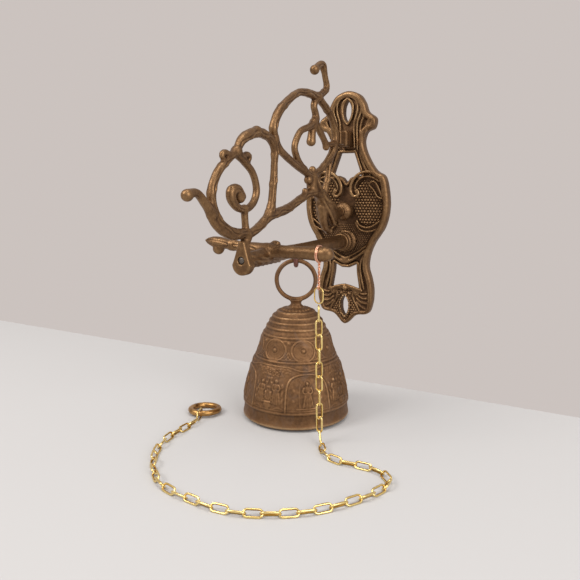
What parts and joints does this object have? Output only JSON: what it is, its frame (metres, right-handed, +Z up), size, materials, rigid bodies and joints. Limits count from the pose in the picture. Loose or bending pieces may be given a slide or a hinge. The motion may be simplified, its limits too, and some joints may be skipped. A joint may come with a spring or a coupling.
{
  "type": "wall bell",
  "caption": "Wall bell hung from a rocking lever under an openwork scroll bracket, with a clapper and a pull chain that ends in a ring.",
  "frame": {"origin": "on the back of the plate, midway between its two screw slots", "axes": "+Z up, +Y into the wall, so the bracket and the bell stand out along -Y; +X towards the arm that carries the chain"},
  "size_m": [0.2093, 0.2862, 0.3111],
  "materials": {
    "antique_bronze": "antiqued cast bronze, dark in the recesses and rubbed bright on the edges",
    "bell_bronze": "dull brown cast bronze",
    "chain_gold": "bright gold-coloured wire",
    "ring_brass": "worn orange-brown brass",
    "copper_wire": "bright bare copper wire",
    "hook_iron": "dark red-brown rusted wire",
    "clapper_iron": "dark rough iron",
    "pin_steel": "dull steel"
  },
  "bodies": {
    "wall_bracket": {"backplate": "antique_bronze", "rear_bearing": "antique_bronze", "standoff_lug": "antique_bronze", "bracket_stud": "antique_bronze", "scroll_bow": "antique_bronze", "scroll_arch": "antique_bronze", "scroll_loop": "antique_bronze", "bracket_eye": "antique_bronze", "chain_drop": "chain_gold", "chain_run": "chain_gold", "chain_end_link": "chain_gold", "pull_ring": "ring_brass"},
    "rocker": {"rocker_lever": "antique_bronze", "rear_pivot_pin": "pin_steel", "front_pivot_pin": "pin_steel", "bell_hook": "hook_iron", "tie_wire": "copper_wire", "tie_link": "chain_gold"},
    "bell": {"crown_ring": "bell_bronze", "bell_shell": "bell_bronze", "clapper_staple": "hook_iron"},
    "clapper": {"clapper_rod": "clapper_iron", "clapper_ball": "clapper_iron"}
  },
  "joints": [
    {"name": "rocker_tilt", "type": "hinge", "parent": "wall_bracket", "child": "rocker", "pos_m": [0, -0.1, -0.03], "axis": [0, 1, 0], "range_deg": [-12, 12], "deforming": ["chain_drop"]},
    {"name": "bell_swing", "type": "hinge", "parent": "rocker", "child": "bell", "pos_m": [0, -0.111, -0.04295], "axis": [-0.4067, 0.9135, 0], "range_deg": [-15, 15]},
    {"name": "clapper_swing", "type": "hinge", "parent": "bell", "child": "clapper", "pos_m": [0, -0.111, -0.0975], "axis": [-0.4067, 0.9135, 0], "range_deg": [-30, 30]}
  ]
}
